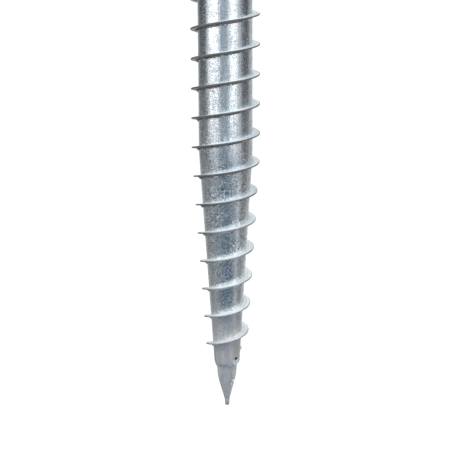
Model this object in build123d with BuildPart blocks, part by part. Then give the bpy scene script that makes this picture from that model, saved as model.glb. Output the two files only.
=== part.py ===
from build123d import *
import os
from math import atan2, cos, radians, sin, sqrt, tan

# Foundation ground screw: one steel tube swaged to a long cone and pressed to a four-faced
# point, with a right-handed strip blade wound round it and a weld bead under the blade.
#
# The screw lies along Y on the floor, at z = 0, with its point towards -Y and its open end
# towards +Y. X = 0 and Y = 0 are the middle of it, and the rim of the blade touches the floor.
# A "station" is the distance from the tip of the point along the axis. An "angle" is turned
# about the axis from +X towards the floor. Millimetres and degrees.

# Tube
total_length = 1000.0
tube_outer_r = 38.05
tube_wall = 3.5

# Swaged cone: from the straight tube down to the shoulder above the point
cone_top_station = 374.0
cone_blend_r = 420.0
shoulder_top_station = 69.0
shoulder_top_r = 18.4

# Point: a blunt nib, four long faces, a short steep run-out up to the shoulder, and round
# corners between the faces that reach down from the shoulder to corner_top_station
nib_end_half_width = 2.4
nib_half_width = 3.1
nib_length = 9.5
knee_half_width = 11.0
knee_station = 44.5
knee_blend_r = 60.0
face_top_half_width = 11.9
face_top_station = 61.5
runout_rise = 5.0
runout_reach = 6.0
corner_ratio = 1.3
corner_top_station = 58.0
point_turn = 18.0
jaw_overshoot = 1.0
cavity_end_station = 24.0

# Drain hole for the zinc bath, through one wall just above the shoulder
drain_hole_r = 5.6
drain_station = 71.5
drain_angle = -47.0

# Blade: a strip rolled thinner at its rim, wound on edge
blade_pitch = 41.05
blade_turns = 14
blade_start_station = 79.0
blade_start_angle = 44.0
blade_height = 10.35
blade_root_thickness = 3.2
blade_rim_thickness = 2.0
points_per_turn = 16
slope_step = 0.05

# Weld bead: a fillet in the corner under the blade
weld_leg = 3.3
seat_gap = 0.01

# Worked out from the sizes above
blade_outer_r = tube_outer_r + blade_height
cone_angle = atan2(tube_outer_r - shoulder_top_r, cone_top_station - shoulder_top_station)
cone_blend_reach = cone_blend_r * tan(cone_angle / 2)
tip = Vector(0, -total_length / 2, blade_outer_r)
screw_axis = Axis(tip, (0, 1, 0))


def axial_plane(angle: float) -> Plane:
    """Plane through the screw's axis: x points out at the angle, y points up the stations."""
    turn = radians(angle)
    return Plane(origin=tip, x_dir=(cos(turn), 0, -sin(turn)), z_dir=(sin(turn), 0, cos(turn)))


def drain_plane() -> Plane:
    """Plane on the screw's axis at the drain hole's station, facing out along its angle."""
    across = axial_plane(drain_angle)
    return Plane(origin=on_screw(drain_angle, 0, drain_station), z_dir=across.x_dir)


def on_screw(angle: float, radius: float, station: float) -> Vector:
    """Point at an angle, a radius and a station."""
    turn = radians(angle)
    return tip + Vector(radius * cos(turn), station, -radius * sin(turn))


def surface_radius(station: float) -> float:
    """Outer radius of the straight tube, of its blend and of its cone at a station."""
    below_top = cone_top_station - station
    if below_top <= -cone_blend_reach:
        return tube_outer_r
    if below_top < cone_blend_reach * cos(cone_angle):
        along = below_top + cone_blend_reach
        return tube_outer_r - cone_blend_r + sqrt(cone_blend_r**2 - along**2)
    return tube_outer_r - below_top * tan(cone_angle)


def blade_station(angle: float) -> float:
    """Station of the middle of the strip at an angle that grows by 360 each turn."""
    return blade_start_station + blade_pitch * (angle - blade_start_angle) / 360


def blade_corners(angle: float) -> list[Vector]:
    """Section of the strip at an angle: root below, rim below, rim above, root above."""
    middle = blade_station(angle)
    rim_r = surface_radius(middle) + blade_height
    root_below = middle - blade_root_thickness / 2
    root_above = middle + blade_root_thickness / 2
    return [
        on_screw(angle, surface_radius(root_below) + seat_gap, root_below),
        on_screw(angle, rim_r, middle - blade_rim_thickness / 2),
        on_screw(angle, rim_r, middle + blade_rim_thickness / 2),
        on_screw(angle, surface_radius(root_above) + seat_gap, root_above),
    ]


def weld_corners(angle: float) -> list[Vector]:
    """Section of the bead at an angle: corner, toe on the tube, toe on the blade."""
    root_below, rim_below = blade_corners(angle)[:2]
    clear = screw_axis.direction * seat_gap
    toe_station = blade_station(angle) - blade_root_thickness / 2 - weld_leg
    toe_on_tube = on_screw(angle, surface_radius(toe_station) + seat_gap, toe_station)
    toe_on_blade = root_below + (rim_below - root_below) * (weld_leg / blade_height)
    return [root_below - clear, toe_on_tube, toe_on_blade - clear]


def helical_edge(corners_at, index: int, first_angle: float) -> Edge:
    """One turn of the helix that a corner of a section follows."""

    def at(angle: float) -> Vector:
        return corners_at(angle)[index]

    angles = [first_angle + 360 * step / points_per_turn for step in range(points_per_turn + 1)]
    slopes = [
        (at(angle + slope_step) - at(angle - slope_step)) / (2 * slope_step)
        for angle in (angles[0], angles[-1])
    ]
    return Edge.make_spline(
        [at(angle) for angle in angles], tangents=slopes, parameters=angles, scale=False
    )


def wound_strip(corners_at) -> Solid:
    """Solid that a section leaves as it winds from the first turn to the last."""
    corner_count = len(corners_at(blade_start_angle))
    faces = []
    for turn in range(blade_turns):
        first_angle = blade_start_angle + 360 * turn
        edges = [helical_edge(corners_at, index, first_angle) for index in range(corner_count)]
        for index in range(corner_count):
            faces.append(Face.make_surface_from_curves(edges[index], edges[index - 1]))
    for end_angle in (blade_start_angle, blade_start_angle + 360 * blade_turns):
        faces.append(Face(Wire.make_polygon(corners_at(end_angle))))
    return Solid(Shell(faces))


with BuildPart() as shaft:
    # Round outside, from the nib's flat end up to the open end
    with BuildSketch(axial_plane(0)) as outside:
        with BuildLine():
            Polyline(
                (0, 0),
                (nib_end_half_width * corner_ratio, 0),
                (nib_half_width * corner_ratio, nib_length),
                (knee_half_width * corner_ratio, knee_station),
                (face_top_half_width * corner_ratio, corner_top_station),
                (shoulder_top_r, shoulder_top_station),
                (tube_outer_r, cone_top_station),
                (tube_outer_r, total_length),
                (0, total_length),
                close=True,
            )
        make_face()
        cone_top = outside.vertices().sort_by_distance((tube_outer_r, cone_top_station))[0]
        fillet(cone_top, cone_blend_r)
        knee = outside.vertices().sort_by_distance(
            (knee_half_width * corner_ratio, knee_station)
        )[0]
        fillet(knee, knee_blend_r)
    revolve(axis=screw_axis)

    # Four pressed faces, made by two pairs of jaws
    clear_of_tube = 2 * tube_outer_r
    for jaw_angle in (-point_turn, 90 - point_turn):
        with BuildSketch(axial_plane(jaw_angle)) as jaws:
            with BuildLine():
                half = Polyline(
                    (0, -jaw_overshoot),
                    (nib_end_half_width, -jaw_overshoot),
                    (nib_end_half_width, 0),
                    (nib_half_width, nib_length),
                    (knee_half_width, knee_station),
                    (face_top_half_width, face_top_station),
                    (face_top_half_width + runout_reach, face_top_station + runout_rise),
                    (clear_of_tube, face_top_station + runout_rise),
                    (clear_of_tube, total_length + jaw_overshoot),
                    (0, total_length + jaw_overshoot),
                )
                mirror(half, about=Plane.YZ)
            make_face()
            for side in (-1, 1):
                knee = jaws.vertices().sort_by_distance((side * knee_half_width, knee_station))[0]
                fillet(knee, knee_blend_r)
        extrude(amount=clear_of_tube, both=True, mode=Mode.INTERSECT)

    # Bore: parallel to the outside, closing above the nib
    with BuildSketch(axial_plane(0)) as inside:
        with BuildLine():
            Polyline(
                (0, cavity_end_station),
                (knee_half_width - tube_wall, knee_station),
                (face_top_half_width - tube_wall, face_top_station),
                (shoulder_top_r - tube_wall / cos(cone_angle), shoulder_top_station),
                (tube_outer_r - tube_wall, cone_top_station - tube_wall * tan(cone_angle / 2)),
                (tube_outer_r - tube_wall, total_length),
                (0, total_length),
                close=True,
            )
        make_face()
        bore_r = tube_outer_r - tube_wall
        bore_end = inside.vertices().sort_by_distance((bore_r, cone_top_station))[0]
        fillet(bore_end, cone_blend_r - tube_wall)
    revolve(axis=screw_axis, mode=Mode.SUBTRACT)

    # Drain hole through one wall
    with BuildSketch(drain_plane()):
        Circle(drain_hole_r)
    extrude(amount=tube_outer_r, mode=Mode.SUBTRACT)
shaft.part.label = "shaft"

with BuildPart() as helix_blade:
    add(wound_strip(blade_corners))
helix_blade.part.label = "helix_blade"

with BuildPart() as blade_weld:
    add(wound_strip(weld_corners))
blade_weld.part.label = "blade_weld"

os.makedirs("parts", exist_ok=True)
export_step(shaft.part, "parts/shaft.step")
export_step(helix_blade.part, "parts/helix_blade.step")
export_step(blade_weld.part, "parts/blade_weld.step")
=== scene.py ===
"""A galvanised foundation ground screw, lying on a pale studio floor with its point to the front.

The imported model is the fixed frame. This script dresses its nodes in zinc, adds the small bodies
of zinc that the bath leaves behind, and sets up the floor, the lights and the camera.
"""

import logging
import math
from dataclasses import dataclass, field
from enum import Enum
from typing import Union

import bpy
from mathutils import Matrix, Vector, noise


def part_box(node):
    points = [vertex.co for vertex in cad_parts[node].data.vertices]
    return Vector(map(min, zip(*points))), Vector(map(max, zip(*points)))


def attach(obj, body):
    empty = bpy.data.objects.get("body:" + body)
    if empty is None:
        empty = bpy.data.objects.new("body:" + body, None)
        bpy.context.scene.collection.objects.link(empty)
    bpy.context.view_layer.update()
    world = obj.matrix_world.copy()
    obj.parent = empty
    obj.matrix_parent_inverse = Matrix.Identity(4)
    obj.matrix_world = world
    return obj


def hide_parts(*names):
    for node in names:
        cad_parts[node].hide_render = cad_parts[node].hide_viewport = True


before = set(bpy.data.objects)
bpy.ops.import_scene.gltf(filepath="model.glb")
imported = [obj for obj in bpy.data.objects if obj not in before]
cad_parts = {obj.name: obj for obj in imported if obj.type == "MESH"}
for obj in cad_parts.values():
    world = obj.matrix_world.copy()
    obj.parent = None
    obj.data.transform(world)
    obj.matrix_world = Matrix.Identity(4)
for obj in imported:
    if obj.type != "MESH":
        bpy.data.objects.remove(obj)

LOG = logging.getLogger("ground_screw")
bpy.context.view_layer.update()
MERGE_DISTANCE = 1e-6

# A Span is the two ends of a range, and a Map is a range and what its two ends become. A Source
# is what feeds an input of a node: a link, a number or a colour.
Colour = tuple[float, float, float]
Span = tuple[float, float]
Map = tuple[float, float, float, float]
Socket = bpy.types.NodeSocket
Operand = Union[bpy.types.NodeSocket, float]
Source = Union[bpy.types.NodeSocket, float, tuple[float, float, float]]


class Part(Enum):
    """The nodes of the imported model."""

    TUBE = "shaft"
    BLADE = "helix_blade"
    WELD = "blade_weld"


class Slot(Enum):
    """The record's material slots."""

    TUBE = "galvanised_tube"
    STRIP = "galvanised_strip"
    WELD = "galvanised_weld"


# --------------------------------------------------------------------------------------------
# Places on the screw
# --------------------------------------------------------------------------------------------


@dataclass(frozen=True)
class ScrewAxis:
    """The line that the screw is built round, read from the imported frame.

    A station is the distance from the tip along the axis; an angle is turned from +X towards the
    floor, as on the construction drawing.
    """

    tip: Vector

    @classmethod
    def from_frame(cls) -> "ScrewAxis":
        """Return the axis of the node called shaft."""
        low, high = (Vector(corner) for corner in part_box("shaft"))
        middle = (low + high) / 2
        return cls(tip=Vector((middle.x, low.y, middle.z)))

    def at(self, angle: float, radius: float, station: float) -> Vector:
        """Return the point at an angle in degrees, a radius and a station in metres."""
        turn = math.radians(angle)
        return self.tip + Vector((radius * math.cos(turn), station, -radius * math.sin(turn)))


@dataclass(frozen=True)
class TubeProfile:
    """The outside of the tube: straight at the top, a blend, then the long cone, in metres."""

    straight_r: float = 0.03805
    cone_top: float = 0.374
    blend_r: float = 0.420
    shoulder_top: float = 0.069
    shoulder_r: float = 0.0184

    def radius(self, station: float) -> float:
        """Return the outer radius at a station."""
        slope = (self.straight_r - self.shoulder_r) / (self.cone_top - self.shoulder_top)
        lean = math.atan(slope)
        reach = self.blend_r * math.tan(lean / 2)
        below_top = self.cone_top - station
        if below_top <= -reach:
            return self.straight_r
        if below_top < reach * math.cos(lean):
            return self.straight_r - self.blend_r + math.sqrt(
                self.blend_r**2 - (below_top + reach)**2)
        return self.straight_r - below_top * slope


@dataclass(frozen=True)
class Helix:
    """The line that the middle of the blade follows."""

    pitch: float = 0.04105
    turns: int = 14
    start_station: float = 0.079
    start_angle: float = 44.0

    def station(self, angle: float) -> float:
        """Return the station at an angle in degrees that grows by 360 each turn."""
        return self.start_station + self.pitch * (angle - self.start_angle) / 360.0

    def nearest_angle(self, around: float, station: float) -> float:
        """Return the angle of the turn that passes nearest to a station.

        Args:
            around: An angle about the axis in degrees, in any turn.
            station: A station in metres.

        Returns:
            The same angle, in that turn.
        """
        offset = (station - self.station(around)) / self.pitch
        return around + 360.0 * round(offset)


def select_only(piece: bpy.types.Object) -> None:
    """Select one object and make it active."""
    bpy.ops.object.select_all(action="DESELECT")
    piece.select_set(True)
    bpy.context.view_layer.objects.active = piece


def apply_modifiers(piece: bpy.types.Object) -> None:
    """Apply each of a piece's modifiers, from the top."""
    select_only(piece)
    for modifier in list(piece.modifiers):
        bpy.ops.object.modifier_apply(modifier=modifier.name)


def tidy_mesh(piece: bpy.types.Object, smooth_angle: float) -> None:
    """Close a piece's open ends, turn its faces outwards and smooth its shallow edges.

    Args:
        piece: The piece, in object mode.
        smooth_angle: The steepest angle between faces that is still smoothed, in degrees.
    """
    select_only(piece)
    bpy.ops.object.mode_set(mode="EDIT")
    bpy.ops.mesh.select_all(action="SELECT")
    bpy.ops.mesh.remove_doubles(threshold=MERGE_DISTANCE)
    bpy.ops.mesh.fill_holes(sides=0)
    bpy.ops.mesh.normals_make_consistent(inside=False)
    bpy.ops.mesh.select_all(action="DESELECT")
    bpy.ops.object.mode_set(mode="OBJECT")
    bpy.ops.object.shade_smooth_by_angle(angle=math.radians(smooth_angle))


# --------------------------------------------------------------------------------------------
# Node trees
# --------------------------------------------------------------------------------------------


class Tree:
    """A thin, typed helper round a node tree: adds nodes and links them by name."""

    def __init__(self, tree: bpy.types.NodeTree) -> None:
        """Keep the tree and clear it."""
        self.tree = tree
        tree.nodes.clear()

    def node(self, kind: str, label: str = "", **settings: object) -> bpy.types.Node:
        """Add a node.

        Args:
            kind: The node's class name, without its ShaderNode prefix.
            label: A name that a reader of the tree sees.
            **settings: Properties of the node itself.

        Returns:
            The new node.
        """
        new = self.tree.nodes.new(kind if kind.startswith("Node") else "ShaderNode" + kind)
        new.label = label
        for name, value in settings.items():
            setattr(new, name, value)
        return new

    def link(self, source: Socket, target: Socket) -> None:
        """Join an output socket to an input socket."""
        self.tree.links.new(source, target)

    def feed(self, target: Socket, source: Source) -> None:
        """Link a socket to an input, or set the input to a number or to an RGB colour."""
        if isinstance(source, bpy.types.NodeSocket):
            self.link(source, target)
        elif isinstance(source, tuple):
            target.default_value = (*source, 1.0)
        else:
            target.default_value = source

    def maths(self, operation: str, *operands: Operand, clamp: bool = False) -> Socket:
        """Add a Math node.

        Args:
            operation: The node's operation.
            *operands: One to three operands, each a socket or a number.
            clamp: Whether the result is kept between 0 and 1.

        Returns:
            The node's output.
        """
        new = self.node("Math", operation=operation, use_clamp=clamp)
        for target, operand in zip(new.inputs, operands):
            self.feed(target, operand)
        return new.outputs[0]

    def product(self, first: Operand, *others: Operand) -> Socket:
        """Multiply values in their order and return the result."""
        for other in others:
            first = self.maths("MULTIPLY", first, other)
        return first

    def weighted(self, *terms: tuple[Socket, float], clamp: bool = False) -> Socket:
        """Add up values, each with its weight, and return the sum."""
        first, *others = (self.maths("MULTIPLY", value, weight) for value, weight in terms)
        for share in others:
            first = self.maths("ADD", first, share, clamp=clamp)
        return first

    def noise(self, vector: Socket, scale: float, detail: float = 3.0, roughness: float = 0.5,
              label: str = "") -> Socket:
        """Add a Noise Texture and return its factor."""
        new = self.node("TexNoise", label=label)
        new.inputs["Scale"].default_value = scale
        new.inputs["Detail"].default_value = detail
        new.inputs["Roughness"].default_value = roughness
        self.link(vector, new.inputs["Vector"])
        return new.outputs["Fac"]

    def stretch(self, vector: Socket, along: float) -> Socket:
        """Scale a vector along the screw only, and return it."""
        new = self.node("Mapping")
        new.inputs["Scale"].default_value = (1.0, along, 1.0)
        self.link(vector, new.inputs["Vector"])
        return new.outputs[0]

    def split(self, vector: Socket) -> tuple[Socket, ...]:
        """Split a vector and return its X, its Y and its Z."""
        new = self.node("SeparateXYZ")
        self.link(vector, new.inputs[0])
        return tuple(new.outputs)

    def attribute(self, name: str) -> Socket:
        """Return the value of a piece's own attribute."""
        return self.node("Attribute", attribute_name=name).outputs["Fac"]

    def range(self, value: Socket, low: float, high: float, to_low: float = 0.0,
              to_high: float = 1.0, smooth: bool = False) -> Socket:
        """Map a value from one range to another, clamped, and return it."""
        new = self.node("MapRange", clamp=True)
        new.interpolation_type = "SMOOTHSTEP" if smooth else "LINEAR"
        for name, number in (("From Min", low), ("From Max", high),
                             ("To Min", to_low), ("To Max", to_high)):
            new.inputs[name].default_value = number
        self.link(value, new.inputs["Value"])
        return new.outputs["Result"]

    def mix(self, factor: Operand, first: Source, second: Source, blend: str = "MIX") -> Socket:
        """Mix two colours, each a socket or an RGB tuple, and return the result."""
        new = self.node("Mix", data_type="RGBA", blend_type=blend)
        for index, source in ((0, factor), (6, first), (7, second)):
            self.feed(new.inputs[index], source)
        return new.outputs[2]

    def shaded(self, colour: Source, shade: Socket) -> Socket:
        """Multiply a colour by a value and return the result."""
        return self.mix(1.0, colour, shade, blend="MULTIPLY")

    def mix_values(self, factor: Socket, first: Operand, second: Operand) -> Socket:
        """Mix two values and return the result."""
        new = self.node("Mix", data_type="FLOAT")
        for index, source in ((0, factor), (2, first), (3, second)):
            self.feed(new.inputs[index], source)
        return new.outputs[0]

    def for_camera(self, mirrored: Socket, seen: Socket, output: str) -> None:
        """Show one shader to the camera and the other to everything that mirrors it.

        Args:
            mirrored: The shader that the metal mirrors.
            seen: The shader that the camera sees.
            output: The class name of the tree's output node, without its prefix.
        """
        final = self.node("MixShader")
        self.link(self.node("LightPath").outputs["Is Camera Ray"], final.inputs[0])
        self.link(mirrored, final.inputs[1])
        self.link(seen, final.inputs[2])
        self.link(final.outputs[0], self.node(output).inputs[0])


# --------------------------------------------------------------------------------------------
# The studio
# --------------------------------------------------------------------------------------------


@dataclass(frozen=True)
class SoftBox:
    """One long soft box beside the screw.

    lean is the angle of its middle from straight up, towards +X, as the screw sees it; spread is
    half the angle that it fills, distance is how far off it stands, near_y and far_y are its two
    ends along the screw, and glow is its brightness. tilt leans it back towards +Y.
    """

    name: str
    lean: float
    spread: float
    distance: float
    glow: float
    near_y: float = -0.50
    far_y: float = 1.6
    height: float = 0.05
    tilt: float = 0.0
    colour: Colour = (1.0, 1.0, 1.0)

    def build(self) -> None:
        """Make the lamp, which lights the screw but isn't in view."""
        width = 2 * self.distance * math.tan(math.radians(self.spread))
        length = self.far_y - self.near_y
        data = bpy.data.lights.new(self.name, "AREA")
        data.shape = "RECTANGLE"
        data.size, data.size_y = width, length
        data.energy = self.glow * math.pi * width * length
        data.color = self.colour
        lamp = bpy.data.objects.new(self.name, data)
        turn = (Matrix.Rotation(math.radians(-self.tilt), 4, "X")
                @ Matrix.Rotation(math.radians(self.lean), 4, "Y"))
        middle = Matrix.Translation((0.0, (self.near_y + self.far_y) / 2, self.distance))
        lamp.matrix_world = Matrix.Translation((0.0, 0.0, self.height)) @ turn @ middle
        lamp.visible_camera = False
        bpy.context.scene.collection.objects.link(lamp)


@dataclass(frozen=True)
class Studio:
    """Pale floor, soft lights and a plain sky.

    The metal mirrors the room, so the room has a dark wall all round, a grey ceiling and two
    long soft boxes, and the paper on the floor is bright only near the screw.
    """

    floor_size: float = 12.0
    paper_light: float = 0.88
    paper_diffuse: float = 0.30
    backdrop: float = 0.93
    near_reach: float = 0.062
    near_fade: float = 0.012
    lit_left: float = -0.080
    lit_right: float = 0.16
    lit_fade: float = 0.035
    lost_side: Span = (0.0, -0.01)
    near_paper: Colour = (1.0, 1.07, 1.08)
    lit_paper: Colour = (0.50, 0.53, 0.53)
    dark_paper: Colour = (0.055, 0.067, 0.078)
    front_paper: Colour = (0.24, 0.25, 0.26)
    front_reach: Span = (0.12, -0.30)
    ceiling: Colour = (0.38, 0.45, 0.51)
    wall: Colour = (0.042, 0.053, 0.063)
    front_ceiling: Colour = (0.085, 0.135, 0.185)
    front_wall: Colour = (0.46, 0.45, 0.455)
    ceiling_starts: Span = (0.15, 0.85)
    ceiling_dims: Span = (0.02, -0.20)
    wall_lightens: Span = (-0.22, -0.38)
    lights: tuple[SoftBox, ...] = (
        SoftBox("left_softbox", lean=-52.5, spread=24.5, distance=1.5, glow=1.45, near_y=-0.27),
        SoftBox("right_softbox", lean=33.0, spread=14.5, distance=1.5, glow=1.35, near_y=-0.34),
        SoftBox("right_fill", lean=60.0, spread=11.0, distance=1.5, glow=0.40, near_y=-0.9),
        SoftBox("rear_softbox", lean=0.0, spread=40.0, distance=2.0, glow=2.9, tilt=66.0,
                near_y=-0.85, far_y=0.85, colour=(0.93, 0.99, 1.0)),
    )

    def build(self) -> None:
        """Make the floor, the sky and the lights."""
        bpy.context.scene.view_settings.view_transform = "Standard"
        self._floor()
        self._sky()
        for light in self.lights:
            light.build()

    def _floor(self) -> None:
        """Lay the paper: white to the camera, bright only near the screw to the metal."""
        bpy.ops.object.select_all(action="DESELECT")
        bpy.ops.mesh.primitive_plane_add(size=self.floor_size)
        floor = bpy.context.object
        floor.name = "studio_floor"
        material = bpy.data.materials.new("studio_paper")
        material.use_nodes = True
        tree = Tree(material.node_tree)
        tree.for_camera(self._mirrored_paper(tree), self._seen_paper(tree), "OutputMaterial")
        floor.data.materials.append(material)

    def _seen_paper(self, tree: Tree) -> Socket:
        """Return the paper's shader as the camera sees it."""
        paper = tree.node("BsdfDiffuse", "paper")
        tree.feed(paper.inputs["Color"], (self.paper_diffuse,) * 3)
        glow = tree.node("Emission", "backlight")
        glow.inputs["Strength"].default_value = self.paper_light
        seen = tree.node("AddShader")
        tree.link(paper.outputs[0], seen.inputs[0])
        tree.link(glow.outputs[0], seen.inputs[1])
        return seen.outputs[0]

    def _mirrored_paper(self, tree: Tree) -> Socket:
        """Return the paper's shader as the metal mirrors it."""
        aside, along, _ = tree.split(tree.node("NewGeometry").outputs["Position"])
        right = tree.range(aside, self.lit_right - self.lit_fade,
                           self.lit_right + self.lit_fade, 1.0, 0.0, smooth=True)
        left = tree.range(aside, self.lit_left - self.lit_fade,
                          self.lit_left + self.lit_fade, 0.0, 1.0, smooth=True)
        near = tree.range(tree.maths("ABSOLUTE", aside), self.near_reach - self.near_fade,
                          self.near_reach + self.near_fade, 1.0, 0.0, smooth=True)
        front = tree.range(along, *self.front_reach, smooth=True)
        lost = tree.product(front, tree.range(aside, *self.lost_side))
        near = tree.product(near, tree.maths("SUBTRACT", 1.0, lost))
        shade = tree.mix(front, self.dark_paper, self.front_paper)
        paper = tree.mix(tree.product(left, right), shade, self.lit_paper)
        mirrored = tree.node("Emission", "what the metal mirrors")
        tree.link(tree.mix(near, paper, self.near_paper), mirrored.inputs["Color"])
        return mirrored.outputs[0]

    def _sky(self) -> None:
        """Make the room that the metal mirrors and the white that the camera sees."""
        world = bpy.data.worlds.new("studio_room")
        bpy.context.scene.world = world
        world.use_nodes = True
        tree = Tree(world.node_tree)
        _, along, up = tree.split(tree.node("TexCoord").outputs["Generated"])
        up = tree.range(up, *self.ceiling_starts, smooth=True)
        dimmer = tree.range(along, *self.ceiling_dims, smooth=True)
        ceiling = tree.mix(dimmer, self.ceiling, self.front_ceiling)
        lighter = tree.range(along, *self.wall_lightens, smooth=True)
        walls = tree.mix(lighter, self.wall, self.front_wall)
        room = tree.node("Background", "room")
        tree.link(tree.mix(up, walls, ceiling), room.inputs["Color"])
        white = tree.node("Background", "white backdrop")
        tree.feed(white.inputs["Color"], (self.backdrop,) * 3)
        tree.for_camera(room.outputs[0], white.outputs[0], "OutputWorld")


@dataclass(frozen=True)
class StudioCamera:
    """The camera: how far it stands off the tip, and how it is tilted and turned."""

    focal_length: float = 86.07
    sensor_width: float = 36.0
    side: float = -0.00036
    above_tip: float = 0.5612
    distance: float = 1.5197
    tilt: float = 10.905
    roll: float = -0.338

    def build(self, axis: ScrewAxis) -> None:
        """Create the camera and make it the scene's own.

        Args:
            axis: The screw's axis, whose tip the camera is placed from.
        """
        data = bpy.data.cameras.new("studio_camera")
        data.lens = self.focal_length
        data.sensor_width = self.sensor_width
        camera = bpy.data.objects.new("studio_camera", data)
        place = axis.tip + Vector((self.side, self.above_tip, self.distance))
        tilt = math.radians(self.tilt)
        right = Vector((1.0, 0.0, 0.0))
        up = Vector((0.0, math.cos(tilt), -math.sin(tilt)))
        back = Vector((0.0, math.sin(tilt), math.cos(tilt)))
        turn = Matrix((right, up, back)).transposed().to_4x4()
        roll = Matrix.Rotation(math.radians(self.roll), 4, "Z")
        camera.matrix_world = Matrix.Translation(place) @ turn @ roll
        bpy.context.scene.collection.objects.link(camera)
        bpy.context.scene.camera = camera


# --------------------------------------------------------------------------------------------
# Zinc
# --------------------------------------------------------------------------------------------


class ZincGrain:
    """Node group for the crystals of a hot-dip zinc coat.

    Its outputs are Tone, a value from 0 to 1 that differs from crystal to crystal, Streak, a value
    from 0 to 1 that runs along the screw, and Height, the relief of the coat. Rates are counted
    per metre.
    """

    name = "zinc_grain"
    border_rate = 260.0
    border_reach = 0.006
    softness = 0.25
    frost_rate, frost_roughness = 600.0, 0.62
    cloud_rate, cloud_stretch = 75.0, 0.6
    streak_rate, streak_stretch = 330.0, 0.05
    grit_rate = 950.0
    roughness = 0.6
    tone_weights = (0.08, 0.76, 0.17)
    height_weights = (0.05, 0.80, 0.25, 0.35)

    @classmethod
    def group(cls) -> bpy.types.NodeTree:
        """Return the group, and make it the first time."""
        if cls.name in bpy.data.node_groups:
            return bpy.data.node_groups[cls.name]
        group = bpy.data.node_groups.new(cls.name, "ShaderNodeTree")
        sockets = group.interface
        sockets.new_socket("Vector", in_out="INPUT", socket_type="NodeSocketVector")
        sockets.new_socket("Crystals per metre", in_out="INPUT", socket_type="NodeSocketFloat")
        for output in ("Tone", "Streak", "Height"):
            sockets.new_socket(output, in_out="OUTPUT", socket_type="NodeSocketFloat")
        tree = Tree(group)
        entry = tree.node("NodeGroupInput")
        leave = tree.node("NodeGroupOutput")
        vector, rate = entry.outputs["Vector"], entry.outputs["Crystals per metre"]

        tint = cls._crystals(tree, vector, rate)
        frost = tree.noise(vector, cls.frost_rate, roughness=cls.frost_roughness,
                           label="frost on the crystals")
        cloud = tree.noise(tree.stretch(vector, cls.cloud_stretch), cls.cloud_rate,
                           label="clouds")
        streak = tree.noise(tree.stretch(vector, cls.streak_stretch), cls.streak_rate,
                            roughness=cls.roughness, label="streaks along the pull")
        grit = tree.noise(vector, cls.grit_rate, roughness=cls.roughness, label="grit")
        tone = tree.weighted(*zip((tint[0], frost, cloud), cls.tone_weights), clamp=True)
        height = tree.weighted(*zip((tint[1], frost, grit, streak), cls.height_weights))
        tree.link(tone, leave.inputs["Tone"])
        tree.link(streak, leave.inputs["Streak"])
        tree.link(height, leave.inputs["Height"])
        return group

    @classmethod
    def _crystals(cls, tree: Tree, vector: Socket, rate: Socket) -> tuple[Socket, ...]:
        """Return red, green and blue values that differ from crystal to crystal."""
        wander = tree.node("TexNoise", "ragged crystal borders")
        wander.inputs["Scale"].default_value = cls.border_rate
        tree.link(vector, wander.inputs["Vector"])
        shift = tree.node("VectorMath", operation="MULTIPLY_ADD")
        tree.link(wander.outputs["Color"], shift.inputs[0])
        shift.inputs[1].default_value = (cls.border_reach,) * 3
        tree.link(vector, shift.inputs[2])
        cells = tree.node("TexVoronoi", "crystals", feature="SMOOTH_F1")
        cells.inputs["Smoothness"].default_value = cls.softness
        tree.link(shift.outputs[0], cells.inputs["Vector"])
        tree.link(rate, cells.inputs["Scale"])
        tint = tree.node("SeparateColor")
        tree.link(cells.outputs["Color"], tint.inputs[0])
        return tuple(tint.outputs)


class Coat:
    """A zinc material in the making.

    tree is its node tree and shader its shader. place is a point counted from the tip in metres,
    aside and station are its X and Y, and tone, streak and height come from the grain.
    """

    def __init__(self, name: str, axis: ScrewAxis, crystals: float) -> None:
        """Start the material.

        Args:
            name: Its name.
            axis: The screw's axis.
            crystals: How many crystals there are to a metre.
        """
        self.material = bpy.data.materials.new(name)
        self.material.use_nodes = True
        self.tree = Tree(self.material.node_tree)
        self.shader = self.tree.node("BsdfPrincipled")
        self.tree.link(self.shader.outputs[0], self.tree.node("OutputMaterial").inputs[0])
        from_tip = self.tree.node("Mapping", "from the tip")
        from_tip.inputs["Location"].default_value = -axis.tip
        self.tree.link(self.tree.node("TexCoord").outputs["Object"], from_tip.inputs["Vector"])
        self.place = from_tip.outputs[0]
        self.aside, self.station, _ = self.tree.split(self.place)
        grain = self.tree.node("Group", "zinc grain")
        grain.node_tree = ZincGrain.group()
        self.tree.link(self.place, grain.inputs["Vector"])
        grain.inputs["Crystals per metre"].default_value = crystals
        self.tone, self.streak, self.height = grain.outputs

    def finish(self, colour: Source, metal: Source, roughness: Source,
               relief: float) -> bpy.types.Material:
        """Finish the material.

        Args:
            colour: Its colour.
            metal: How metallic it is, from 0 to 1.
            roughness: Its roughness.
            relief: The depth of its grain in metres.

        Returns:
            The finished material.
        """
        for name, source in (("Base Color", colour), ("Metallic", metal),
                             ("Roughness", roughness)):
            self.tree.feed(self.shader.inputs[name], source)
        bump = self.tree.node("Bump")
        bump.inputs["Distance"].default_value = relief
        bump.inputs["Strength"].default_value = 1.0
        self.tree.link(self.height, bump.inputs["Height"])
        self.tree.link(bump.outputs[0], self.shader.inputs["Normal"])
        return self.material


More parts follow.
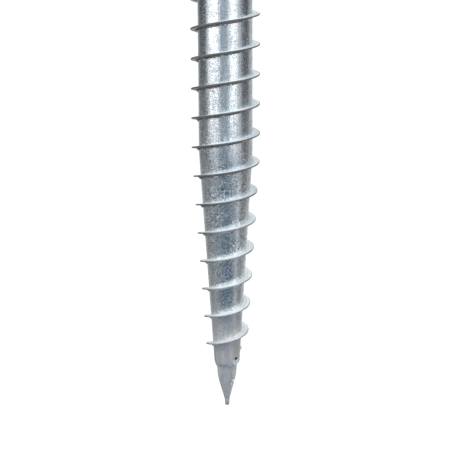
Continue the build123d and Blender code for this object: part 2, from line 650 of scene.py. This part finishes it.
@dataclass(frozen=True)
class Flecks:
    """Bright frosted flecks and dark pits in the coat, in metres and counts per metre.

    gather maps a noise to how thick they lie, and fade_up and fade_down do so by the station, up
    the straight tube and down to the matte part.
    """

    per_metre: float = 480.0
    roughness: float = 0.55
    bright: Span = (0.555, 0.615)
    pits: Span = (0.445, 0.385)
    gather_per_metre: float = 55.0
    gather: Map = (0.40, 0.56, 0.30, 1.0)
    fade_up: Map = (0.33, 0.44, 1.0, 0.35)
    fade_down: Map = (0.10, 0.23, 0.15, 1.0)

    def masks(self, coat: Coat) -> tuple[Socket, Socket]:
        """Return the mask of the flecks and the mask of the pits."""
        tree = coat.tree
        specks = tree.noise(coat.place, self.per_metre, detail=2.0, roughness=self.roughness,
                            label="flecks and pits")
        crowd = tree.noise(coat.place, self.gather_per_metre, detail=2.0,
                           label="where flecks gather")
        where = tree.product(tree.range(crowd, *self.gather),
                             tree.range(coat.station, *self.fade_up),
                             tree.range(coat.station, *self.fade_down))
        return (tree.product(tree.range(specks, *self.bright), where),
                tree.product(tree.range(specks, *self.pits), where))


@dataclass(frozen=True)
class ZincFinish:
    """The tube's hot-dip zinc coat.

    bright and dull are the two ends of its colour, smooth and rough those of its gloss, relief is
    the depth of its crystals in metres. Below matte_station the coat is matte, and it is fully
    bright above bright_station.
    """

    name: str
    bright: Colour = (0.95, 0.97, 0.98)
    dull: Colour = (0.56, 0.61, 0.66)
    tones: Span = (0.41, 0.53)
    streaks: Map = (0.32, 0.68, 0.80, 1.04)
    smooth: float = 0.17
    rough: float = 0.52
    relief: float = 0.00028
    crystals: float = 190.0
    matte_station: float = 0.078
    bright_station: float = 0.175
    drift: float = 0.08
    drifts_per_metre: float = 28.0
    matte_warm: Colour = (0.745, 0.70, 0.665)
    matte_cool: Colour = (0.69, 0.70, 0.735)
    matte_roughness: float = 0.60
    matte_metal: float = 0.5
    mottle: Map = (0.40, 0.54, 0.80, 1.05)
    patches: Span = (0.40, 0.60)
    patches_per_metre: float = 95.0
    patch_stretch: float = 0.35
    patch_roughness: float = 0.6
    end_shade: float = 0.60
    end_station: float = 0.006
    flecks: Flecks = Flecks()
    fleck: Colour = (0.97, 0.98, 0.98)
    fleck_metal: float = 0.25
    pit_shade: float = 0.55

    def material(self, axis: ScrewAxis) -> bpy.types.Material:
        """Build the material.

        Args:
            axis: The screw's axis, from whose tip the stations are counted.

        Returns:
            The new material.
        """
        coat = Coat(self.name, axis, self.crystals)
        tree = coat.tree
        drift = tree.maths("MULTIPLY_ADD", tree.noise(coat.place, self.drifts_per_metre,
                                                      detail=2.0), self.drift, -self.drift / 2)
        polish = tree.range(tree.maths("ADD", coat.station, drift), self.matte_station,
                            self.bright_station, smooth=True)
        fleck, pit = self.flecks.masks(coat)

        sheet = tree.mix(tree.range(coat.tone, *self.tones), self.dull, self.bright)
        colour = tree.mix(polish, self._matte_colour(coat), sheet)
        colour = tree.shaded(colour, tree.range(coat.streak, *self.streaks))
        colour = tree.shaded(colour, tree.maths("MULTIPLY_ADD", pit, -self.pit_shade, 1.0))
        colour = tree.mix(fleck, colour, self.fleck)

        metal = tree.maths("MULTIPLY_ADD", polish, 1.0 - self.matte_metal, self.matte_metal)
        frosted = tree.maths("MULTIPLY_ADD", fleck, self.fleck_metal - 1.0, 1.0)
        gloss = tree.range(coat.tone, *self.tones, self.rough, self.smooth)
        roughness = tree.mix_values(polish, self.matte_roughness, gloss)
        return coat.finish(colour, tree.product(metal, frosted), roughness, self.relief)

    def _matte_colour(self, coat: Coat) -> Socket:
        """Return the colour of the matte part: patchy, mottled and darker at its very end."""
        tree = coat.tree
        patches = tree.noise(tree.stretch(coat.place, self.patch_stretch),
                             self.patches_per_metre, roughness=self.patch_roughness,
                             label="warm and cool patches")
        old = tree.mix(tree.range(patches, *self.patches), self.matte_warm, self.matte_cool)
        mottle = tree.range(coat.tone, *self.mottle)
        # Darker towards the very end of the point, by the station alone.
        end_darkening = tree.range(coat.station, 0.0, self.end_station, self.end_shade, 1.0)
        return tree.shaded(old, tree.product(mottle, end_darkening))


@dataclass(frozen=True)
class StripFinish:
    """The blade's coat: bright above and greyer below, a painted light and a painted shade, and
    dull and brownish on the rim, partly painted shade.

    Low on the cone, below rim_stations, it is brighter, a stronger painted light, and its rim is
    light in the middle, a painted highlight, and grey at the sides, a painted shade.
    """

    name: str
    # Painted light on the upper face and painted shade on the lower face.
    above: Colour = (0.88, 0.945, 0.98)
    below: Colour = (0.42, 0.405, 0.385)
    # Dull zinc darkened with painted shade on the rim.
    rim: Colour = (0.19, 0.18, 0.172)
    # Painted light on the upper face, brighter still low on the cone.
    low_lit_above: Colour = (0.985, 0.995, 1.0)
    # A painted highlight in the rim's middle low on the cone, and painted shade at its sides.
    low_rim_highlight: Colour = (0.70, 0.74, 0.76)
    side_rim_shade: Colour = (0.30, 0.31, 0.32)
    low_stain: float = 0.4
    rim_stations: Span = (0.20, 0.33)
    side_reach: Span = (0.016, 0.030)
    rim_height: float = 0.01035
    rim_fade: Span = (-0.0003, 0.0002)
    # A random jitter of the edge of the rim's painted shade.
    rim_edge_jitter: float = 0.0012
    edge_fade: float = 0.0003
    lines_per_metre: float = 420.0
    line_roughness: float = 0.6
    line_drift: float = 0.05
    lines: Map = (0.50, 0.36, 0.0, 0.34)
    stains: Map = (0.56, 0.42, 0.0, 0.42)
    metal: float = 0.35
    roughness: float = 0.50
    relief: float = 0.00012
    crystals: float = 170.0

    def material(self, axis: ScrewAxis) -> bpy.types.Material:
        """Build the material on the blade's own out and up attributes."""
        coat = Coat(self.name, axis, self.crystals)
        tree = coat.tree
        out = tree.attribute("out")
        higher = tree.range(coat.station, *self.rim_stations)
        side = tree.range(tree.maths("ABSOLUTE", coat.aside), *self.side_reach)
        # The rim's painted shade, with a painted highlight in its middle low on the cone.
        rim = tree.mix(higher, tree.mix(side, self.low_rim_highlight, self.side_rim_shade), self.rim)
        # A ragged edge for the rim's painted shade, drawn from the grain rather than from wear.
        worn = tree.maths("MULTIPLY_ADD", coat.tone, self.rim_edge_jitter, out)
        at_rim = tree.range(worn, *(self.rim_height + fade for fade in self.rim_fade))

        # The upper face gets the painted light and the lower face the painted shade.
        over = tree.range(tree.attribute("up"), -self.edge_fade, self.edge_fade)
        face = tree.mix(over, self.below, tree.mix(higher, self.low_lit_above, self.above))
        face = tree.mix(tree.range(self._drawn_lines(coat, out), *self.lines), face, self.rim)
        stain = tree.product(tree.range(coat.tone, *self.stains),
                             tree.range(higher, 0.0, 1.0, self.low_stain, 1.0))
        face = tree.mix(stain, face, self.rim)
        return coat.finish(tree.mix(at_rim, face, rim), self.metal, self.roughness, self.relief)

    def _drawn_lines(self, coat: Coat, out: Socket) -> Socket:
        """Return a value whose grain runs along the strip."""
        tree = coat.tree
        outwards = tree.node("CombineXYZ")
        tree.link(out, outwards.inputs[0])
        drawn = tree.node("VectorMath", operation="MULTIPLY_ADD")
        tree.link(coat.place, drawn.inputs[0])
        drawn.inputs[1].default_value = (self.line_drift,) * 3
        tree.link(outwards.outputs[0], drawn.inputs[2])
        return tree.noise(drawn.outputs[0], self.lines_per_metre, detail=2.0,
                          roughness=self.line_roughness, label="lines drawn along the strip")


@dataclass(frozen=True)
class BeadFinish:
    """The weld bead's coat: mottled brown-grey, partly painted shade, lighter low on the cone,
    with a bright rippled toe, partly a painted highlight.
    """

    name: str
    # The brown-grey mottle is partly dull weld zinc and partly painted shade; the lighter low
    # colour is used low on the cone.
    crest: Colour = (0.36, 0.345, 0.33)
    hollow: Colour = (0.15, 0.143, 0.136)
    low: Colour = (0.52, 0.54, 0.55)
    # The toe's near-white is partly zinc ripples and partly a painted highlight.
    toe: Colour = (0.93, 0.96, 0.97)
    mottle: Span = (0.4, 0.6)
    toe_fade: Span = (-0.00880, -0.01024)
    toe_swing: float = -0.0096
    ripples_per_metre: float = 300.0
    low_stations: Span = (0.20, 0.33)
    smooth: float = 0.4
    rough: float = 0.6
    relief: float = 0.00025
    crystals: float = 260.0

    def material(self, axis: ScrewAxis) -> bpy.types.Material:
        """Build the material on the bead's own up attribute."""
        coat = Coat(self.name, axis, self.crystals)
        tree = coat.tree
        mottle = tree.range(coat.tone, *self.mottle)
        brown = tree.mix(mottle, self.hollow, self.crest)
        # Darker on the upper turns and lighter low on the cone: partly painted shade.
        colour = tree.mix(tree.range(coat.station, *self.low_stations), self.low, brown)
        ripple = tree.noise(coat.place, self.ripples_per_metre, detail=2.0,
                            label="ripples of the toe")
        edge = tree.maths("MULTIPLY_ADD", ripple, self.toe_swing, tree.attribute("up"))
        # Partly zinc ripples and partly a painted highlight along the toe.
        colour = tree.mix(tree.range(edge, *self.toe_fade), colour, self.toe)
        roughness = tree.range(mottle, 0.0, 1.0, self.rough, self.smooth)
        return coat.finish(colour, 1.0, roughness, self.relief)


@dataclass(frozen=True)
class FreshZinc:
    """Zinc that froze as a drop or a lip: smooth and bright, its near-white partly a painted
    highlight.
    """

    name: str
    bright: Colour
    shade: Colour
    metal: float
    mottle: Span = (0.35, 0.6)
    smooth: float = 0.3
    rough: float = 0.42
    relief: float = 0.00010
    crystals: float = 400.0

    def material(self, axis: ScrewAxis) -> bpy.types.Material:
        """Build the material."""
        coat = Coat(self.name, axis, self.crystals)
        mottle = coat.tree.range(coat.tone, *self.mottle)
        colour = coat.tree.mix(mottle, self.shade, self.bright)
        roughness = coat.tree.range(mottle, 0.0, 1.0, self.rough, self.smooth)
        return coat.finish(colour, self.metal, roughness, self.relief)


# --------------------------------------------------------------------------------------------
# Wound strip and its weld
# --------------------------------------------------------------------------------------------


@dataclass
class WoundSection:
    """A section that is wound round the tube along the helix, and follows the tube's cone.

    A section point is (out, up): metres out from the tube, and metres up from the middle of the
    blade, along the screw.
    """

    name: str
    axis: ScrewAxis
    tube: TubeProfile = field(default_factory=TubeProfile)
    helix: Helix = field(default_factory=Helix)
    steps_per_turn: int = 72
    smooth_angle: float = 50.0

    def section(self) -> list[tuple[float, float]]:
        """Return the section's points, in order round it."""
        raise NotImplementedError

    def shaped(self, out: float, up: float, angle: float) -> tuple[float, float]:
        """Return a section point as it stands at an angle; a subclass adds its own relief."""
        return out, up

    def build(self) -> bpy.types.Object:
        """Wind the section and return the finished piece."""
        points = self.section()
        bpy.ops.object.select_all(action="DESELECT")
        bpy.ops.mesh.primitive_circle_add(vertices=len(points), radius=self.tube.straight_r)
        piece = bpy.context.object
        piece.name = self.name
        for vertex, (out, up) in zip(piece.data.vertices, points):
            vertex.co = (self.tube.straight_r + out, self.helix.start_station + up, 0.0)
        wind = piece.modifiers.new("wind", "SCREW")
        wind.axis = "Y"
        wind.angle = 2 * math.pi
        wind.screw_offset = self.helix.pitch
        wind.iterations = self.helix.turns
        wind.steps = wind.render_steps = self.steps_per_turn
        apply_modifiers(piece)
        self._seat(piece)
        tidy_mesh(piece, self.smooth_angle)
        return piece

    def _seat(self, piece: bpy.types.Object) -> None:
        """Turn the wound mesh to its start, seat it on the cone and note each point's place."""
        outward = piece.data.attributes.new("out", "FLOAT", "POINT")
        upward = piece.data.attributes.new("up", "FLOAT", "POINT")
        for vertex in piece.data.vertices:
            x, station, z = vertex.co
            around = math.degrees(math.atan2(-z, x)) + self.helix.start_angle
            angle = self.helix.nearest_angle(around, station)
            out = math.hypot(x, z) - self.tube.straight_r
            up = station - self.helix.station(angle)
            outward.data[vertex.index].value = out
            upward.data[vertex.index].value = up
            out, up = self.shaped(out, up, angle)
            station = self.helix.station(angle) + up
            vertex.co = self.axis.at(angle, self.tube.radius(station) + out, station)


@dataclass
class Blade(WoundSection):
    """The strip blade, rolled thinner at its rim, with rounded edges and a slight wave."""

    height: float = 0.01035
    root_thickness: float = 0.0032
    rim_thickness: float = 0.0020
    edge_r: float = 0.0005
    sunk: float = 0.0002
    face_shares: tuple[float, ...] = (0.3, 0.6, 0.85)
    wave: float = 0.00035
    wear: float = 0.0003
    waves_per_metre: float = 22.0
    wear_to_wave: float = 3.1
    wave_radius: float = 0.03
    wave_power: float = 1.5
    wear_power: int = 4

    def section(self) -> list[tuple[float, float]]:
        """Return the strip's section: up the lower face, round the rim, down the upper face."""
        root, rim = self.root_thickness / 2, self.rim_thickness / 2
        face = [(self.height * share, root + (rim - root) * share)
                for share in self.face_shares]
        lower = [(-self.sunk, -root)] + [(out, -half) for out, half in face]
        soft = self.edge_r * (1 - math.sqrt(0.5))
        edge = [(self.height - self.edge_r, -rim), (self.height - soft, -rim + soft),
                (self.height, -rim + self.edge_r)]
        half = lower + edge
        return half + [(out, -up) for out, up in reversed(half)]

    def shaped(self, out: float, up: float, angle: float) -> tuple[float, float]:
        """Return a point of the strip, with the rim a little wavy and never taller."""
        share = max(0.0, out / self.height)
        way = self.axis.at(angle, self.wave_radius, self.helix.station(angle))
        way = way * self.waves_per_metre
        sway = noise.noise(way) * self.wave
        worn = abs(noise.noise(way * self.wear_to_wave)) * self.wear
        return out - worn * share**self.wear_power, up + sway * share**self.wave_power


@dataclass
class WeldBead(WoundSection):
    """The fillet weld under the blade, with the ripples of its passes.

    profile is its section in legs, (out, up) from the corner under the blade.
    """

    leg: float = 0.0033
    blade_root: float = 0.0032
    blade_slope: float = 0.058
    profile: tuple[Span, ...] = ((-0.06, 0.06), (-0.06, -1.0), (0.30, -0.86), (0.60, -0.60),
                                 (0.86, -0.30), (1.0, 0.06))
    ripple: float = 0.0034
    ripple_depth: float = 0.07
    ripple_middle: float = 0.4
    wanders_per_metre: float = 60.0
    wander_seed: float = 7.0
    wander_depth: float = 0.09
    wander_shift: float = 0.35
    steps_per_turn: int = 360

    def section(self) -> list[tuple[float, float]]:
        """Return the bead's section, from the corner down the tube and out over its crown."""
        root = -self.blade_root / 2
        return [(self.leg * out, root + self.leg * (up + self.blade_slope * max(0.0, out)))
                for out, up in self.profile]

    def shaped(self, out: float, up: float, angle: float) -> tuple[float, float]:
        """Return a point of the bead, fuller on each ripple's crest and uneven along the run."""
        station = self.helix.station(angle)
        travel = math.radians(angle) * self.tube.radius(station)
        wander = noise.noise(Vector((travel * self.wanders_per_metre, 0.0, self.wander_seed)))
        phase = (travel / self.ripple + self.wander_shift * wander) % 1.0
        swell = (1.0 + self.ripple_depth * (phase**2 - self.ripple_middle)
                 + self.wander_depth * wander)
        root = -self.blade_root / 2
        return out * swell if out > 0 else out, root + (up - root) * (swell if up < root else 1.0)


# --------------------------------------------------------------------------------------------
# Frozen zinc
# --------------------------------------------------------------------------------------------


@dataclass(frozen=True)
class DrainLip:
    """Zinc that froze on the lower wall of the drain hole while the bath ran out.

    It is a funnel from the hole's edge to a smaller opening, which has shifted up and aside, with
    a brim that has run down over the edge.
    """

    angle: float = -47.0
    station: float = 0.0715
    hole_r: float = 0.0056
    edge_margin: float = 0.0003
    opening_r: float = 0.0023
    opening_shift: Span = (0.0023, 0.0021)
    depth: float = 0.0016
    edge_depth: float = 0.0004
    funnel_power: float = 1.3
    brim: float = 0.0009
    brim_rise: float = 0.0007
    bumpiness: float = 0.10
    bumps_per_metre: float = 900.0
    surface_r: float = 0.01855
    wall: float = 0.0006
    segments: int = 48
    rings: int = 5
    smooth_angle: float = 60.0

    def build(self, axis: ScrewAxis) -> bpy.types.Object:
        """Build the lip as a funnel and return it.

        Args:
            axis: The screw's axis.
        """
        piece = self._flat_rings()
        across = axis.at(self.angle, 1.0, 0.0) - axis.tip
        along = Vector((0.0, 1.0, 0.0))
        side = along.cross(across)
        centre = axis.at(self.angle, 0.0, self.station)
        for vertex in piece.data.vertices:
            aside, up, out = self._shaped(Vector(vertex.co))
            vertex.co = centre + side * aside + along * up + across * out
        thick = piece.modifiers.new("thick", "SOLIDIFY")
        thick.thickness = self.wall
        thick.offset = 0.0
        smooth = piece.modifiers.new("smooth", "SUBSURF")
        smooth.levels = smooth.render_levels = 1
        apply_modifiers(piece)
        tidy_mesh(piece, self.smooth_angle)
        return piece

    def _flat_rings(self) -> bpy.types.Object:
        """Return a flat sheet of rings, from outside the hole's edge in to the opening."""
        size = self.hole_r + self.edge_margin
        bpy.ops.object.select_all(action="DESELECT")
        bpy.ops.mesh.primitive_circle_add(vertices=self.segments, radius=size)
        piece = bpy.context.object
        piece.name = "drain_lip_zinc"
        bpy.ops.object.mode_set(mode="EDIT")
        for ring in range(1, self.rings + 1):
            smaller = self.hole_r + (self.opening_r - self.hole_r) * (ring / self.rings)
            bpy.ops.mesh.extrude_edges_move()
            bpy.ops.transform.resize(value=(smaller / size,) * 3,
                                     center_override=(0.0, 0.0, 0.0))
            size = smaller
        bpy.ops.object.mode_set(mode="OBJECT")
        return piece

    def _shaped(self, flat: Vector) -> tuple[float, float, float]:
        """Return where a point of the flat rings ends up: aside, up, and out from the axis."""
        reach = flat.length
        share = max(0.0, (self.hole_r - reach) / (self.hole_r - self.opening_r))
        bumpy = 1.0 + self.bumpiness * noise.noise(flat * self.bumps_per_metre)
        low = max(0.0, -flat.y / reach) if reach > self.hole_r else 0.0
        flat = flat * (1.0 + low * self.brim / reach)
        aside = flat.x + self.opening_shift[0] * share
        up = flat.y + self.opening_shift[1] * share
        surface = math.sqrt(max(0.0, self.surface_r**2 - aside**2))
        deep = (self.edge_depth - low * self.brim_rise
                + self.depth * share**self.funnel_power * bumpy)
        return aside, up, surface - deep


@dataclass(frozen=True)
class ZincDab:
    """One drop of zinc frozen on the tube; size is across, along and out, in metres."""

    angle: float
    station: float
    size: tuple[float, float, float]
    sunk: float = 0.35
    cast_from: float = 0.2
    subdivisions: int = 3
    lumpiness: float = 0.22
    lumps: float = 1.7
    lump_seed: float = 100.0
    smooth_angle: float = 60.0

    def build(self, axis: ScrewAxis, tube: bpy.types.Object, name: str) -> bpy.types.Object:
        """Build the drop and return it.

        Args:
            axis: The screw's axis.
            tube: The tube that it sits on.
            name: The piece's name.
        """
        start = axis.at(self.angle, self.cast_from, self.station)
        across = (start - axis.at(self.angle, 0.0, self.station)).normalized()
        hit, seat, _, _ = tube.ray_cast(start, -across)
        if not hit:
            raise RuntimeError(f"{name} has no tube under it")
        bpy.ops.object.select_all(action="DESELECT")
        bpy.ops.mesh.primitive_ico_sphere_add(subdivisions=self.subdivisions, radius=1.0)
        piece = bpy.context.object
        piece.name = name
        along = Vector((0.0, 1.0, 0.0))
        side = along.cross(across)
        centre = seat - across * (self.sunk * self.size[2])
        for vertex in piece.data.vertices:
            lump = 1.0 + self.lumpiness * noise.noise(vertex.co * self.lumps
                                                      + centre * self.lump_seed)
            x, y, z = vertex.co * lump
            vertex.co = (centre + side * (x * self.size[0]) + along * (y * self.size[1])
                         + across * (z * self.size[2]))
        tidy_mesh(piece, self.smooth_angle)
        return piece


# --------------------------------------------------------------------------------------------
# The scene
# --------------------------------------------------------------------------------------------


def give(piece: bpy.types.Object, material: bpy.types.Material) -> None:
    """Make a material the only one of a piece."""
    piece.data.materials.clear()
    piece.data.materials.append(material)


def add_piece(piece: bpy.types.Object, material: bpy.types.Material) -> None:
    """Dress a new piece, fix it to the screw and report it.

    Args:
        piece: The new piece.
        material: Its material.
    """
    give(piece, material)
    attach(piece, "root")
    LOG.info("%s: %d faces", piece.name, len(piece.data.polygons))


def main() -> None:
    """Build the scene."""
    logging.basicConfig(level=logging.INFO, format="%(name)s: %(message)s")
    axis = ScrewAxis.from_frame()
    StudioCamera().build(axis)
    Studio().build()

    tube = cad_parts[Part.TUBE.value]
    give(tube, ZincFinish("zinc_tube").material(axis))
    blade = Blade("strip_blade", axis).build()
    add_piece(blade, StripFinish("zinc_blade").material(axis))
    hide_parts(Part.BLADE.value)
    bead = WeldBead("weld_bead", axis).build()
    add_piece(bead, BeadFinish("zinc_weld").material(axis))
    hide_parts(Part.WELD.value)
    # The lip's near-white colour is partly fresh zinc and partly a painted highlight in the drain
    # hole.
    lip_highlight_finish = FreshZinc("zinc_lip", bright=(0.93, 0.96, 0.96), shade=(0.55, 0.64, 0.66),
                           metal=0.3)
    add_piece(DrainLip().build(axis), lip_highlight_finish.material(axis))
    # The drops' near-white colour is partly fresh zinc and partly a painted highlight.
    drop_highlight_finish = FreshZinc("zinc_drop", bright=(0.97, 0.98, 0.98), shade=(0.88, 0.91, 0.92),
                            metal=0.1)
    drops = {
        "point_zinc_drop": ZincDab(-30.0, 0.0376, (0.0026, 0.0026, 0.0020), sunk=0.1),
        "point_zinc_speck": ZincDab(-58.0, 0.0350, (0.0012, 0.0014, 0.0009)),
        "shoulder_zinc_drop": ZincDab(2.0, 0.0875, (0.0022, 0.0030, 0.0026), sunk=0.1),
    }
    for name, drop in drops.items():
        add_piece(drop.build(axis, tube, name), drop_highlight_finish.material(axis))


if __name__ == "__main__":
    main()
